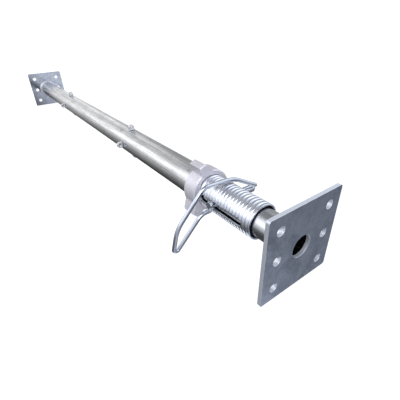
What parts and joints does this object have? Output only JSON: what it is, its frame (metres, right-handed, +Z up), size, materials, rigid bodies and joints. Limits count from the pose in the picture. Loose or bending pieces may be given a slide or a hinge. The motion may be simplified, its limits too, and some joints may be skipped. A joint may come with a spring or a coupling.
{
  "type": "adjustable steel prop",
  "caption": "Telescopic steel shoring prop with square perforated end plates, drilled inner tube, slotted outer tube, lugged collar nut, bracing eyes and a locking pin with a bent wire handle.",
  "frame": {"origin": "centre of the base plate's underside", "axes": "+Z up the prop towards the head plate, +X along the locking pin towards its free tip, +Y towards the side that the handle's bow crosses"},
  "size_m": [0.1785, 0.14, 1.473],
  "materials": {
    "galvanised_tube": "hot-dip galvanised tube, satin",
    "galvanised_plate": "hot-dip galvanised plate, satin",
    "weld_bead": "galvanised fillet weld, rippled",
    "galvanised_eye": "galvanised, satin",
    "cast_nut": "galvanised casting, slightly rough",
    "zinc_plated_bar": "bright zinc plating over drawn bar"
  },
  "bodies": {
    "outer": {"base_plate": "galvanised_plate", "base_weld": "weld_bead", "outer_tube": "galvanised_tube", "lower_eye_1": "galvanised_eye", "lower_eye_2": "galvanised_eye", "lower_eye_3": "galvanised_eye", "lower_eye_4": "galvanised_eye", "upper_eye_1": "galvanised_eye", "upper_eye_2": "galvanised_eye", "upper_eye_3": "galvanised_eye", "upper_eye_4": "galvanised_eye"},
    "inner": {"inner_tube": "galvanised_tube", "head_plate": "galvanised_plate", "head_weld": "weld_bead"},
    "nut": {"collar_nut": "cast_nut"},
    "locking_pin": {"pin_shank": "zinc_plated_bar", "pin_handle": "zinc_plated_bar"}
  },
  "joints": [
    {"name": "nut_turn", "type": "hinge", "parent": "inner", "child": "nut", "pos_m": [0, 0, 1.264], "axis": [0, 0, 1], "range_deg": [0, 3060]},
    {"name": "lift", "type": "slide", "parent": "outer", "child": "inner", "axis": [0, 0, 1], "range_m": [0, 0.0595]},
    {"name": "handle_swing", "type": "hinge", "parent": "inner", "child": "locking_pin", "pos_m": [0, 0, 1.318], "axis": [1, 0, 0], "range_deg": [-24, 14]}
  ],
  "couplings": [
    {"joint": "lift", "follows": "nut_turn", "m_per_rad": 0.0011141}
  ]
}
